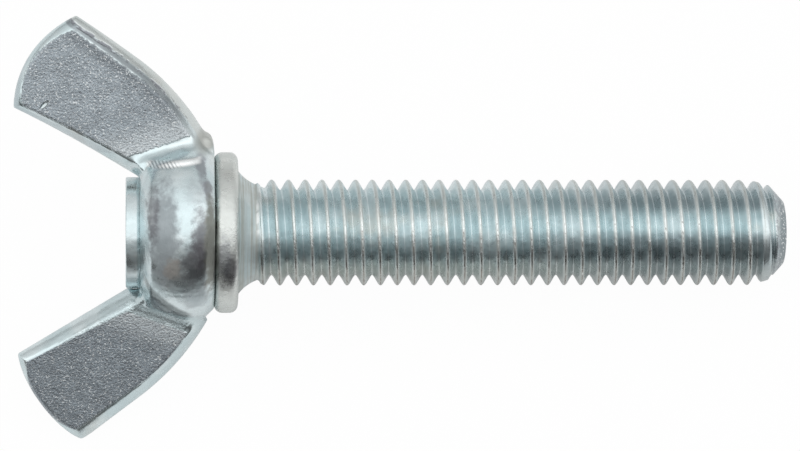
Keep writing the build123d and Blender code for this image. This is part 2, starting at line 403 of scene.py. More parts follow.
def collar_outline():
    """From the middle of the riveted end, round the rivet and the collar, to the neck."""
    hub_base = -COLLAR_THICKNESS
    hub_top = hub_base - HUB_HEIGHT
    end = hub_top - RIVET_THICKNESS
    corner = RIVET_ROUNDING
    rim = COLLAR_ROUNDING
    points = [(end, 0)]
    points += [(end, RIVET_RADIUS * share) for share in DISC_RINGS]
    points += arc_points((end + corner, RIVET_RADIUS - corner), corner, 180, 90, CORNER_STEPS)
    points += [(end + share * RIVET_THICKNESS, RIVET_RADIUS) for share in EDGE_RINGS]
    points += [(hub_top, RIVET_RADIUS), (hub_top, BLANK_RADIUS)]
    points += [(hub_base, BLANK_RADIUS)]
    points += arc_points((hub_base + rim, COLLAR_RADIUS - rim), rim, 180, 90, RIM_STEPS)
    points += arc_points((-rim, COLLAR_RADIUS - rim), rim, 90, 0, RIM_STEPS)
    points += [(0, (NECK_START_RADIUS + COLLAR_RADIUS - rim) / 2)]
    points += [(0, NECK_START_RADIUS)]
    return points


def point_outline():
    """The flat end behind the thread's cone, from its edge to its middle."""
    return [(SHANK_LENGTH, POINT_RADIUS * share) for share in (1, *reversed(DISC_RINGS), 0)]


def stem(material):
    """Spigot, collar, neck, thread and point in one closed skin."""
    mesh = wound_thread(material)
    form = bmesh.new()
    form.from_mesh(mesh)
    revolved(form, collar_outline())
    revolved(form, point_outline())
    bmesh.ops.remove_doubles(form, verts=form.verts, dist=SEAM_DISTANCE)
    bmesh.ops.recalc_face_normals(form, faces=form.faces)
    for face in form.faces:
        face.smooth = True
        face.material_index = 0
    form.to_mesh(mesh)
    form.free()
    mesh.materials.clear()
    mesh.materials.append(material)
    return laid_down(put_in_scene("stem_skin", mesh))


# ------------------------------------------------------------------ winged head


# The +Y wing in the xy plane, before the hub's offset: its parting line and its flat face.
TIP_INNER = Vector((-16.4, 9.5))
TIP_OUTER = Vector((-11.8, 16.25))
TIP_BULGE = 1.2
OUTER_BEND = Vector((-7.0, 12.55))
OUTER_ROOT = Vector((-2.2, 6.85))
OUTER_ROOT_BULGE = 0.36
FACE_TIP_INNER = Vector((-15.78, 9.79))
FACE_TIP_OUTER = Vector((-12.06, 15.25))
FACE_BEND = Vector((-7.66, 11.86))
FOOT_INNER = Vector((-8.23, 5.77))
FOOT_OUTER = Vector((-3.57, 7.37))
LOWER_FOOT_SHIFT = 1.0
HUB_OFFSET = 0.26
STRAIGHT_STEPS = 4
CURVE_STEPS = 12
FACE_ROOT_STEPS = 10
VOXEL = 0.112
MERGE_DISTANCE = 0.0005

# The flare's crest, where its wall turns over onto the hub.
CREST = [
    Vector((-7.6, 4.75, 2.5)),
    Vector((-6.48, 5.12, 3.4)),
    Vector((-5.46, 5.47, 3.8)),
    Vector((-4.45, 5.83, 3.55)),
    Vector((-3.2, 6.28, 2.5)),
]
TIP_CORNER = Vector((-11.8, 16.25, 0.0))
FLASH_CENTRE = Vector((-2.5, 6.95, 0.0))

# Rounding: how far it reaches, and how many times the net is evened out there.
CREST_REACH = 1.3
CREST_PASSES = 56
TIP_CORNER_REACH = 1.0
TIP_CORNER_PASSES = 24
FLASH_REACH = 1.7
FLASH_PASSES = 72
EVERYWHERE_PASSES = 2
SOFTENING = 0.5
# The share of a reach over which the rounding fades is 1 / FADING.
FADING = 1.3

# The lip lies along a line that climbs by LIP_SLOPE and is LIP_MIDDLE off the hub's axis
# at LIP_X. Each pair below is where it rises from nothing to full height, or falls away.
LIP_X = -4.7
LIP_MIDDLE = 5.6
LIP_SLOPE = 0.118
LIP_HEIGHT = 0.13
LIP_RISES = (-0.22, 0.12)
LIP_FALLS = (0.16, 1.2)
LIP_BEGINS = (-7.8, -6.4)
LIP_ENDS = (-3.1, -2.3)
LIP_CLIMBS = (1.4, 2.0)

# What the -Y tip has lost: at its edge, more at its middle, more at its outer corner.
TRIM_LEAST = 0.12
TRIM_MIDDLE = 0.38
TRIM_CORNER = 0.35
TRIM_REACH = 5.0
# How much the inner corner of the +Y tip stands out, and how far along and across the wing.
SPREAD = 0.38
SPREAD_LENGTH = 9.0
SPREAD_WIDTH = 7.0

# The outer edge is noted on the +Y wing from here out, and taken as this far off elsewhere.
RIM_BEGINS = 6.0
RIM_ELSEWHERE = 4.0
OFF_SHELF = -1.0


def curve_between(p, q, bulge, count):
    """Points from p to q on a shallow curve that bulges to its left, without the last."""
    chord = q - p
    left = Vector((-chord.y, chord.x)).normalized()
    shares = [i / count for i in range(count)]
    return [p + chord * t + left * (4 * bulge * t * (1 - t)) for t in shares]


def outer_edge():
    """Points along the outer edge of the +Y wing, from its tip to the hub."""
    points = curve_between(TIP_OUTER, OUTER_BEND, 0.0, STRAIGHT_STEPS)
    points += curve_between(OUTER_BEND, OUTER_ROOT, OUTER_ROOT_BULGE, CURVE_STEPS)
    return points + [OUTER_ROOT]


def face_outline(foot_shift):
    """Closed outline of the flat face, its foot moved towards the hub by foot_shift."""
    foot = (FOOT_OUTER - FOOT_INNER).normalized()
    shift = Vector((foot.y, -foot.x)) * foot_shift
    points = curve_between(FACE_TIP_INNER, FACE_TIP_OUTER, TIP_BULGE, CURVE_STEPS)
    points += curve_between(FACE_TIP_OUTER, FACE_BEND, 0.0, STRAIGHT_STEPS)
    points += curve_between(FACE_BEND, FOOT_OUTER + shift, OUTER_ROOT_BULGE, FACE_ROOT_STEPS)
    return points + [FOOT_OUTER + shift, FOOT_INNER + shift, FACE_TIP_INNER]


def distance_to_line(points, places):
    """Least distance from each place to a run of points joined by lines."""
    least = np.full(len(places), np.inf)
    for p, q in zip(points, points[1:]):
        start = np.array(p)
        run = np.array(q - p)
        share = np.clip((places - start) @ run / float(run @ run), 0, 1)
        away = places - start - share[:, None] * run
        least = np.minimum(least, np.sqrt((away**2).sum(1)))
    return least


def distance_to_point(point, places):
    """Distance from each place to a point."""
    return np.sqrt(((places - np.array(point)) ** 2).sum(1))


def inside(points, places):
    """Whether each place lies inside a closed outline."""
    crossed = np.zeros(len(places), bool)
    for p, q in zip(points, points[1:]):
        if p.y == q.y:
            continue
        spans = (places[:, 1] > p.y) != (places[:, 1] > q.y)
        meets = p.x + (places[:, 1] - p.y) * (q.x - p.x) / (q.y - p.y)
        crossed ^= spans & (places[:, 0] < meets)
    return crossed


def nearness(distance, reach):
    """How strongly the net is softened at a distance from the middle of a rounding."""
    return SOFTENING * np.clip(FADING * (1 - distance / reach), 0, 1)


def softened(places, edges, weight, times):
    """Moves each vertex towards the middle of its neighbours, by its own weight."""
    first, second = edges[:, 0], edges[:, 1]
    count = np.bincount(edges.ravel(), minlength=len(places))[:, None]
    for _ in range(times):
        total = np.zeros_like(places)
        for axis in range(3):
            onto_first = np.bincount(first, places[second, axis], len(places))
            onto_second = np.bincount(second, places[first, axis], len(places))
            total[:, axis] = onto_first + onto_second
        places = places + (total / count - places) * weight[:, None]
    return places


def folded(places):
    """Places on the head mirrored onto its +Y, +Z quarter, measured from the hub's axis."""
    return np.column_stack((places[:, 0], abs(places[:, 1] - HUB_OFFSET), abs(places[:, 2])))


def eased(values, low, high):
    """Smooth step from 0 at low to 1 at high."""
    share = np.clip((values - low) / (high - low), 0, 1)
    return share * share * (3 - 2 * share)


def lip_raised(places):
    """A thin lip, pressed up where the +Y, +Z flare turns over onto the hub."""
    x = places[:, 0]
    from_axis = places[:, 1] - HUB_OFFSET
    off_lip = from_axis - LIP_MIDDLE - LIP_SLOPE * (x - LIP_X)
    height = LIP_HEIGHT * eased(off_lip, *LIP_RISES) * (1 - eased(off_lip, *LIP_FALLS))
    height *= eased(x, *LIP_BEGINS) * (1 - eased(x, *LIP_ENDS)) * eased(places[:, 2], *LIP_CLIMBS)
    from_centre = np.hypot(from_axis, places[:, 2])
    moved = places.copy()
    moved[:, 1] += height * from_axis / from_centre
    moved[:, 2] += height * places[:, 2] / from_centre
    return moved


def lower_tip_trimmed(places):
    """The -Y wing's tip, ground a little shorter and flatter than the other one."""
    along = (TIP_OUTER - TIP_INNER).normalized()
    inward = Vector((along.y, -along.x))
    from_tip = folded(places)[:, :2] - np.array(TIP_INNER)
    share = np.clip(from_tip @ np.array(along) / (TIP_OUTER - TIP_INNER).length, 0, 1)
    depth = from_tip @ np.array(inward) + TIP_BULGE
    amount = TRIM_LEAST + TRIM_MIDDLE * 4 * share * (1 - share) + TRIM_CORNER * share**4
    amount *= np.clip(1 - depth / TRIM_REACH, 0, 1) ** 2
    amount[places[:, 1] > HUB_OFFSET] = 0
    moved = places.copy()
    moved[:, 0] += inward.x * amount
    moved[:, 1] -= inward.y * amount
    return moved


def upper_tip_spread(places):
    """The +Y wing, a little broader at the inner corner of its tip."""
    along = (TIP_INNER - FOOT_INNER).normalized()
    outward = Vector((-along.y, along.x))
    from_corner = folded(places)[:, :2] - np.array(TIP_INNER)
    back = np.clip(1 + (from_corner @ np.array(along)) / SPREAD_LENGTH, 0, 1)
    inner = np.clip(1 + (from_corner @ np.array(-outward)) / SPREAD_WIDTH, 0, 1)
    amount = SPREAD * back * back * inner
    amount[places[:, 1] < HUB_OFFSET] = 0
    moved = places.copy()
    moved[:, 0] += outward.x * amount
    moved[:, 1] += outward.y * amount
    return moved


def head_form():
    """The forged head in the screw's axes: its CAD form in an even net."""
    mesh = frame["nodes"]["wing_head"].data.copy()
    mesh.transform(SCREW.inverted())
    form = bmesh.new()
    form.from_mesh(mesh)
    bmesh.ops.remove_doubles(form, verts=form.verts, dist=MERGE_DISTANCE)
    form.to_mesh(mesh)
    form.free()
    obj = put_in_scene("head_skin", mesh)
    even = obj.modifiers.new("even", "REMESH")
    even.mode = "VOXEL"
    even.voxel_size = VOXEL
    made = evaluated_mesh(obj)
    obj.modifiers.clear()
    obj.data = made
    bpy.data.meshes.remove(mesh)
    return obj


def forged(places, edges):
    """The head's places with rounded crests, a rounded -Y corner and softened flash."""
    quarter = folded(places)
    on_crest = nearness(distance_to_line(CREST, quarter), CREST_REACH)
    on_corner = nearness(distance_to_point(TIP_CORNER, quarter), TIP_CORNER_REACH)
    on_corner[places[:, 1] > HUB_OFFSET] = 0
    flash_centre = np.array(FLASH_CENTRE) + np.array((0, HUB_OFFSET, 0))
    on_flash = nearness(distance_to_point(flash_centre, places), FLASH_REACH)
    places = softened(places, edges, on_crest, CREST_PASSES)
    places = softened(places, edges, on_corner, TIP_CORNER_PASSES)
    places = softened(places, edges, on_flash, FLASH_PASSES)
    return softened(places, edges, np.full(len(places), SOFTENING), EVERYWHERE_PASSES)


def head(material):
    """The winged head, softened like a forging, with its lip and its two unlike tips."""
    obj = head_form()
    mesh = obj.data
    places = np.empty(len(mesh.vertices) * 3)
    mesh.vertices.foreach_get("co", places)
    edges = np.empty(len(mesh.edges) * 2, np.int64)
    mesh.edges.foreach_get("vertices", edges)

    places = forged(places.reshape(-1, 3), edges.reshape(-1, 2))
    places = lower_tip_trimmed(lip_raised(places))
    mark_head(mesh, places)
    places = upper_tip_spread(places)
    mesh.vertices.foreach_set("co", places.ravel())
    mesh.update()
    for face in mesh.polygons:
        face.use_smooth = True
    mesh.materials.clear()
    mesh.materials.append(material)
    return laid_down(obj)


def note(mesh, name, values):
    """Keeps one number for each vertex under a name."""
    mesh.attributes.new(name, "FLOAT", "POINT").data.foreach_set("value", values)


def mark_head(mesh, places):
    """Notes what the finish needs to know at each vertex, in millimetres.

    grainy is the depth inside the blasted shelf at the -Y wing's root, inset the depth
    inside a flat face, past_foot the way out from the face's foot, and rim the distance
    from the +Y wing's outer edge.
    """
    plan = folded(places)[:, :2]
    upper_wing = places[:, 1] > HUB_OFFSET
    shelf = face_outline(LOWER_FOOT_SHIFT)
    on_shelf = inside(shelf, plan) & ~upper_wing
    note(mesh, "grainy", np.where(on_shelf, distance_to_line(shelf, plan), OFF_SHELF))
    outline = face_outline(0.0)
    away = distance_to_line(outline, plan)
    note(mesh, "inset", np.where(inside(outline, plan), away, -away))
    foot = (FOOT_OUTER - FOOT_INNER).normalized()
    note(mesh, "past_foot", (plan - np.array(FOOT_INNER)) @ np.array((-foot.y, foot.x)))
    rim = distance_to_line(outer_edge(), plan)
    rim[~upper_wing | (plan[:, 1] < RIM_BEGINS)] = RIM_ELSEWHERE
    note(mesh, "rim", rim)


# ------------------------------------------------------------------ finishes


COOL = (0.59, 0.69, 0.71)
PALE = (0.69, 0.77, 0.785)
WARM = (0.62, 0.63, 0.60)
DUSKY = (0.30, 0.315, 0.345)
BROWN = (0.21, 0.18, 0.16)
# Painted highlight colour: glints and bright lines laid into the colour where light would catch.
PAINTED_GLINT = (0.86, 0.89, 0.89)
BLASTED = (0.37, 0.42, 0.455)
BLASTED_LOWER = (0.32, 0.365, 0.40)
BLASTED_RIM = (0.20, 0.225, 0.245)
# Painted shade colour, laid at the point's flat end and in the ripples of the lip.
PAINTED_SHADE_GREY = (0.25, 0.29, 0.31)
LINED = (0.27, 0.30, 0.32)
NEAR_ROOT = (0.60, 0.65, 0.67)
# Dark colour for stains in the grain, and for painted shade where the hub and collar reflect the dark
# side of the surround.
STAIN_AND_SHADE = (0.16, 0.155, 0.17)
RUSTY = (0.50, 0.42, 0.35)
SHOULDER = (0.28, 0.29, 0.265)
PAINTED_CREASE_SHADE = (0.22, 0.255, 0.26)
# Greyer colour: painted shade on the thread's lower side, darker crest bands, and turning lines on
# the neck.
UNDERSIDE = (0.47, 0.485, 0.45)
SHADED = (0.33, 0.38, 0.40)
FLASH_TINT = (0.42, 0.44, 0.42)
MATT = (0.38, 0.42, 0.44)
COLLAR_TINT = (0.62, 0.635, 0.605)

# Places below are mm along the axis and degrees around it, from +Z to +Y, and spreads are
# half a place's length and half its turn.
MATT_PLACE = ((-5.5, 8.0), (1.15, 36.0))
# Places on the hub, with their colour and how strong it is: matt, worn, stained and rusty places, and
# dark patches that are painted shade where the hub reflects the dark side of the surround.
WORN_AND_SHADED_PLACES = (
    (*MATT_PLACE, MATT, 0.9),
    ((-6.3, 22.0), (0.45, 24.0), STAIN_AND_SHADE, 0.6),
    ((-2.75, 4.0), (0.75, 20.0), STAIN_AND_SHADE, 0.8),
    ((-3.05, -11.0), (1.15, 16.0), STAIN_AND_SHADE, 0.75),
    ((-4.9, -15.0), (0.6, 8.0), RUSTY, 0.45),
    ((-2.75, 55.0), (0.4, 14.0), DUSKY, 0.7),
    ((-3.2, 34.0), (0.9, 9.0), MATT, 0.35),
    ((-3.2, -37.0), (1.2, 12.0), MATT, 0.6),
    ((-2.3, 38.0), (0.35, 8.0), DUSKY, 0.8),
    ((-2.05, 0.0), (0.55, 36.0), SHOULDER, 0.95),
)
# Dark patches painted on the collar's lower side, as shade where it reflects the dark side of the
# surround, laid out the same way.
COLLAR_SHADE_PLACES = (
    ((-0.6, -17.0), (0.5, 13.0), STAIN_AND_SHADE, 0.7),
    ((-1.1, -8.0), (0.5, 16.0), DUSKY, 0.5),
)

# In a pair, a share grows or fades from the first value to the second.
# On the stem, in degrees: its bright line and the painted glint on its first ridge, each with how
# far off it ends, the lower side greyed with painted shade, and the seam, whose painted colour turns
# from brown shade to a bright painted highlight and then grows fainter.
BRIGHT_AZIMUTH = 25.0
OFF_BRIGHT = (8.0, 24.0)
GLINT_AZIMUTH = 28.0
OFF_GLINT = (14.0, 28.0)
LOWER_SIDE = (-42.0, -14.0)
SEAM_BRIGHTENS = (-22.0, 14.0)
SEAM_FAINTENS = (14.0, 48.0)
# In shares of the pitch: half the seam's width and half the darker band's on a crest.
SEAM_HALF = (0.012, 0.05)
CREST_BAND_HALF = (0.05, 0.15)
# In mm along the axis, out from it, or away from the first ridge.
FAR_PART = (17.0, 32.0)
COLLAR_BACK = (-COLLAR_THICKNESS - 0.15, -COLLAR_THICKNESS + 0.05)
COLLAR_FRONT = (-0.05, 0.02)
NECK_BEGINS = (-0.1, 0.05)
NECK_ENDS = (NECK_LENGTH, NECK_LENGTH + 0.3)
THREAD_BEGINS = (NECK_LENGTH, NECK_LENGTH + 0.4)
CHAMFER_BEGINS = (SHANK_LENGTH - CHAMFER_LENGTH, SHANK_LENGTH - CHAMFER_LENGTH + 0.2)
END_BEGINS = (SHANK_LENGTH - 0.8, SHANK_LENGTH - 0.4)
NECK_RADII = (3.3, 3.5)
CREST_RADII = (THREAD_RADIUS - 0.25, THREAD_RADIUS - 0.12)
FIRST_RIDGE_X = NECK_LENGTH + 0.12
OFF_FIRST_RIDGE = (0.06, 0.16)

# The painted shade of the crease at the root of the -Y wing turns round the hub by so much for each
# mm.
CREASE_X = -6.22
CREASE_AZIMUTH = -38.8
CREASE_TURN = 7.5
CREASE_HALF = (2.5, 7.0)
CREASE_BEGINS = (-7.2, -6.6)
CREASE_ENDS = (-3.9, -3.2)

# Marks on the +Y side, in x and y or in x and the distance from the hub's axis.
FLASH_PLACE = (-2.35, 6.95)
FLASH_SPREAD = (0.9, 0.9)
# From the hub's axis along Y: where the hub passes into a wing, and one side into the other.
HUB_ENDS = (5.9, 6.6)
SIDES = (-1.0, 1.0)
# From the +Y wing's outer edge: its sheared wall, a dark strip and a broken groove beside it whose
# shade is painted, the darker margin of its face, and its inner wall. Strip and line end at the hub.
SHEARED = (0.42, 0.52)
STRIP_BEGINS = (0.40, 0.60)
STRIP_ENDS = (0.78, 0.95)
RIM_LINE = 0.50
RIM_LINE_HALF = (0.04, 0.16)
FACE_MARGIN = (1.0, 2.2)
INNER_WALL = (4.2, 4.8)
EDGE_MARKS_END = (-4.6, -3.4)
# Inside a flat face's outline, or outside it where negative, and out from its foot.
OFF_FACE = (-0.3, -0.15)
FACE_BEGINS = (0.05, 0.17)
SHELF_BEGINS = (0.1, 0.3)
NEAR_FOOT = (0.1, 2.6)
# The lip's painted highlight: half its width, and where along the axis it begins and ends.
LIP_HALF = (0.14, 0.30)
BRIGHT_LIP_BEGINS = (-6.9, -6.5)
BRIGHT_LIP_ENDS = (-3.0, -2.6)
RIPPLE_CENTRE = (-5.7, 5.75)
RIPPLE_SPREAD = (1.3, 0.7)
RIPPLE_PITCH = 0.30
RIPPLE_LEAN = 0.7
# Along and across a line that leans 45 degrees: x + y and y - x.
DENT_CENTRE = (-4.5, 24.0)
DENT_SPREAD = (0.55, 0.22)


def surface_place(tree):
    """The point on a piece in the screw's axes, in millimetres."""
    where, turn, size = SCREW.inverted().decompose()
    coords = add_node(tree, "ShaderNodeTexCoord")
    mapping = add_node(
        tree,
        "ShaderNodeMapping",
        {
            "Vector": coords.outputs["Object"],
            "Location": where,
            "Rotation": turn.to_euler(),
            "Scale": size,
        },
    )
    return mapping.outputs[0]


class Coat:
    """Bright zinc plate in the making: its place on the piece, colour and normal so far.

    from_axis is measured along Y from the piece's own axis, azimuth in degrees around it.
    """

    def __init__(self, name, axis_y):
        self.material = bpy.data.materials.new(name)
        self.material.use_nodes = True
        self.tree = self.material.node_tree
        self.place = surface_place(self.tree)
        self.x, self.y, self.z = add_node(self.tree, "ShaderNodeSeparateXYZ", {0: self.place}).outputs
        self.from_axis = self.reckon("SUBTRACT", self.y, axis_y)
        turn = self.reckon("ARCTAN2", self.from_axis, self.z)
        self.azimuth = self.reckon("MULTIPLY", turn, 180 / pi)
        self.colour = self.mixed(self.step(self.mottle(0.35, 3.0), 0.42, 0.62), COOL, PALE)
        self.tint(self.step(self.mottle(0.22, 4.0, 0.6), 0.55, 0.72, 0.0, 0.6), WARM)
        self.normal = None
        self.raise_by(self.mottle(0.8), 0.06)
        self.raise_by(self.mottle(7.0, 3.0, 0.6), 0.003)

    def reckon(self, operation, first, second=None, third=None):
        """A Math node's result."""
        return reckon(self.tree, operation, first, second, third)

    def product(self, first, *others):
        """All the values multiplied."""
        for other in others:
            first = self.reckon("MULTIPLY", first, other)
        return first

    def apart(self, first, second):
        """How far two values differ."""
        return self.reckon("ABSOLUTE", self.reckon("SUBTRACT", first, second))

    def noted(self, name):
        """A number kept for each vertex of the piece."""
        return add_node(self.tree, "ShaderNodeAttribute", attribute_name=name).outputs["Fac"]

    def mottle(self, scale, detail=2.0, roughness=0.5, stretch=None):
        """Value of a noise with so many features to a millimetre, stretched along the axes."""
        place = self.place
        if stretch:
            mapping = add_node(self.tree, "ShaderNodeMapping", {"Vector": place, "Scale": stretch})
            place = mapping.outputs[0]
        made = add_node(
            self.tree,
            "ShaderNodeTexNoise",
            {"Vector": place, "Scale": scale, "Detail": detail, "Roughness": roughness},
        )
        return made.outputs[0]

    def waver(self, amount, *noise):
        """A noise that wavers by up to the amount to both sides of 0."""
        return self.reckon("MULTIPLY_ADD", self.mottle(*noise), 2 * amount, -amount)

    def step(self, value, low, high, at_low=0.0, at_high=1.0):
        """Smooth step of a value from at_low to at_high between low and high."""
        made = add_node(
            self.tree,
            "ShaderNodeMapRange",
            {"Value": value, "From Min": low, "From Max": high, "To Min": at_low, "To Max": at_high},
            interpolation_type="SMOOTHSTEP",
        )
        return made.outputs[0]

    def fade(self, value, low, high, at_low=1.0):
        """Smooth step down to 0 between low and high."""
        return self.step(value, low, high, at_low, 0.0)

    def oval(self, first, second, centre, spread, wobble=0.0):
        """Share of 1 inside an oval with a wavering edge, 0 outside it."""
        across = self.reckon("DIVIDE", self.reckon("SUBTRACT", first, centre[0]), spread[0])
        along = self.reckon("DIVIDE", self.reckon("SUBTRACT", second, centre[1]), spread[1])
        square = self.reckon("MULTIPLY_ADD", along, along, self.product(across, across))
        reach = self.reckon("ADD", self.reckon("SQRT", square), wobble)
        return self.fade(reach, 0.5, 1.3)

    def mixed(self, share, first, second):
        """Mix of two colours, each a socket or plain red, green and blue."""
        made = self.tree.nodes.new("ShaderNodeMix")
        made.data_type = "RGBA"
        socket_into(self.tree, made.inputs[0], share)
        for target, value in ((made.inputs[6], first), (made.inputs[7], second)):
            socket_into(self.tree, target, (*value, 1) if isinstance(value, tuple) else value)
        return made.outputs[2]

    def tint(self, share, colour, strength=None):
        """Lays a colour over the coat where share is 1, weaker by strength."""
        if strength is not None:
            share = self.product(share, strength)
        self.colour = self.mixed(share, self.colour, colour)

    def raise_by(self, height, most):
        """Raises the surface by height times so many millimetres, in the finish alone."""
        made = add_node(self.tree, "ShaderNodeBump", {"Height": height, "Distance": most * MM})
        made.inputs["Strength"].default_value = 1.0
        socket_into(self.tree, made.inputs["Normal"], self.normal)
        self.normal = made.outputs[0]

    def sink_by(self, depth, most):
        """Sinks the surface by depth times so many millimetres."""
        self.raise_by(self.product(depth, -1.0), most)

    def finished(self, roughness):
        """The material, with all that was laid on it."""
        shader = self.tree.nodes["Principled BSDF"]
        shader.inputs["Metallic"].default_value = 1.0
        self.tree.links.new(roughness, shader.inputs["Roughness"])
        self.tree.links.new(self.colour, shader.inputs["Base Color"])
        self.tree.links.new(self.normal, shader.inputs["Normal"])
        return self.material


# ---- stem ----


def crest_seam(coat, on_crest):
    """The fold that rolling leaves along the middle of each crest."""
    wander = coat.waver(0.05, 1.6, 3.0, 0.7)
    off_seam = coat.apart(coat.noted("off_crest"), wander)
    return coat.product(coat.fade(off_seam, *SEAM_HALF), on_crest)


def thread_coat(coat, on_thread, on_crest, seam, scattered):
    """Painted shade below and far from the bright line, darker crest bands, and a seam painted brown
    in shade and bright where lit.
    """
    # Painted shade: the thread's lower side greyed.
    below = coat.fade(coat.azimuth, *LOWER_SIDE, 0.6)
    coat.tint(coat.product(below, on_thread), UNDERSIDE)
    far_part = coat.step(coat.x, *FAR_PART, 0.0, 0.5)
    off_bright = coat.step(coat.apart(coat.azimuth, BRIGHT_AZIMUTH), *OFF_BRIGHT)
    coat.tint(coat.product(far_part, off_bright), SHADED)
    off_middle = coat.reckon("ABSOLUTE", coat.noted("off_crest"))
    crest_band = coat.fade(off_middle, *CREST_BAND_HALF, 0.55)
    coat.tint(coat.product(crest_band, on_thread, on_crest), UNDERSIDE)

    # The seam's colour is painted light: brown shade on the lower side, a painted highlight on the
    # lit side, fainter higher up.
    unsteady = coat.reckon("ADD", coat.azimuth, coat.waver(110.0, 3.2, 3.0, 0.7))
    seam_colour = coat.mixed(coat.step(unsteady, *SEAM_BRIGHTENS), BROWN, PAINTED_GLINT)
    faint = coat.product(coat.step(coat.azimuth, *SEAM_FAINTENS, 0.85, 0.15), scattered)
    coat.tint(coat.product(seam, faint), seam_colour)


def collar_coat(coat):
    """Warmer, pitted collar, with dark patches of painted shade on its lower side."""
    on_collar = coat.product(coat.step(coat.x, *COLLAR_BACK), coat.fade(coat.x, *COLLAR_FRONT))
    coat.tint(on_collar, COLLAR_TINT, 0.8)
    wobble = coat.waver(0.8, 1.5, 4.0, 0.65)
    for centre, spread, colour, strength in COLLAR_SHADE_PLACES:
        share = coat.oval(coat.x, coat.azimuth, centre, spread, wobble)
        coat.tint(coat.product(share, strength, on_collar), colour)
    coat.raise_by(coat.product(coat.mottle(5.0, 4.0, 0.7), on_collar), 0.03)


def point_coat(coat):
    """Rough and speckled chamfer, darkened with painted shade towards the flat end, with a few
    painted glints.
    """
    on_chamfer = coat.step(coat.x, *CHAMFER_BEGINS)
    speckle = coat.step(coat.mottle(3.0, 4.0, 0.7), 0.44, 0.60)
    coat.tint(coat.product(on_chamfer, speckle), DUSKY, 0.7)
    coat.raise_by(coat.product(coat.mottle(4.0, 3.0, 0.7), on_chamfer), 0.05)
    # Painted shade towards the flat end, and painted glints there.
    near_end = coat.step(coat.x, *END_BEGINS)
    coat.tint(near_end, PAINTED_SHADE_GREY, 0.85)
    glints = coat.step(coat.mottle(6.0, 2.0, 0.6), 0.58, 0.66)
    coat.tint(coat.product(glints, near_end), PAINTED_GLINT)


def neck_coat(coat, radius):
    """Fine turning lines around the neck; gives the share that says where the neck is."""
    on_neck = coat.product(
        coat.step(radius, *NECK_RADII),
        coat.fade(coat.x, *NECK_ENDS),
        coat.step(coat.x, *NECK_BEGINS),
    )
    turned = coat.mottle(1.0, 2.0, 0.5, (9.0, 0.15, 0.15))
    coat.raise_by(coat.product(turned, on_neck), 0.04)
    coat.tint(coat.product(coat.step(turned, 0.38, 0.62, 0.15, 0.75), on_neck), UNDERSIDE)
    return on_neck


def first_ridge_coat(coat, scattered):
    """Broken glint along the start of the thread, on the lit side."""
    lit_side = coat.fade(coat.apart(coat.azimuth, GLINT_AZIMUTH), *OFF_GLINT)
    first_ridge = coat.fade(coat.apart(coat.x, FIRST_RIDGE_X), *OFF_FIRST_RIDGE)
    coat.tint(coat.product(first_ridge, lit_side, scattered), PAINTED_GLINT)


def stem_finish():
    """Zinc on the stem: seamed thread, stained collar, rough end and turned neck."""
    coat = Coat("zinc_on_stem", 0.0)
    across = coat.reckon("POWER", coat.y, 2.0)
    upright = coat.reckon("POWER", coat.z, 2.0)
    radius = coat.reckon("SQRT", coat.reckon("ADD", across, upright))
    on_thread = coat.step(coat.x, *THREAD_BEGINS)
    on_crest = coat.step(radius, *CREST_RADII)
    seam = coat.product(crest_seam(coat, on_crest), on_thread)
    scattered = coat.step(coat.mottle(1.5, 3.0, 0.7), 0.38, 0.56, 0.3, 1.0)
    thread_coat(coat, on_thread, on_crest, seam, scattered)
    collar_coat(coat)
    coat.sink_by(seam, 0.03)
    point_coat(coat)
    on_neck = neck_coat(coat, radius)
    first_ridge_coat(coat, scattered)
    scuffed = coat.step(coat.mottle(1.1, 3.0, 0.6), 0.35, 0.7, 0.24, 0.40)
    return coat.finished(coat.reckon("MULTIPLY_ADD", on_neck, 0.3, scuffed))


# ---- head ----


def worn_and_shaded_hub_coat(coat, wobble, on_hub):
    """Worn and stained places on the hub, and dark patches of painted shade; gives where any of them
    lie, and where it is matt.
    """
    wear_and_shade = 0.0
    for centre, spread, colour, strength in WORN_AND_SHADED_PLACES:
        place = coat.oval(coat.x, coat.azimuth, centre, spread, wobble)
        share = coat.product(place, strength, on_hub)
        coat.tint(share, colour)
        wear_and_shade = coat.reckon("MAXIMUM", wear_and_shade, share)
    matt = coat.product(coat.oval(coat.x, coat.azimuth, *MATT_PLACE, wobble), on_hub)
    return wear_and_shade, matt


def wing_root_coat(coat, wobble, inset, rim):
    """Darker inner wall, painted shade along the crease, and a lump of flash at the wings' roots."""
    inner_wall = coat.product(coat.step(rim, *INNER_WALL), coat.fade(inset, *OFF_FACE))
    coat.tint(inner_wall, BLASTED, 0.4)
    off_middle = -CREASE_AZIMUTH - CREASE_TURN * CREASE_X
    slope = coat.reckon("MULTIPLY_ADD", coat.x, CREASE_TURN, off_middle)
    off_crease = coat.reckon("ABSOLUTE", coat.reckon("ADD", coat.azimuth, slope))
    off_crease = coat.reckon("MULTIPLY_ADD", wobble, 2.0, off_crease)
    along_crease = (coat.step(coat.x, *CREASE_BEGINS), coat.fade(coat.x, *CREASE_ENDS))
    crease = coat.product(coat.fade(off_crease, *CREASE_HALF), *along_crease)
    # Painted shade along the crease at the -Y wing's root.
    coat.tint(crease, PAINTED_CREASE_SHADE, 0.85)
    flash = coat.oval(coat.x, coat.from_axis, FLASH_PLACE, FLASH_SPREAD)
    coat.tint(flash, FLASH_TINT, 0.9)
    return flash


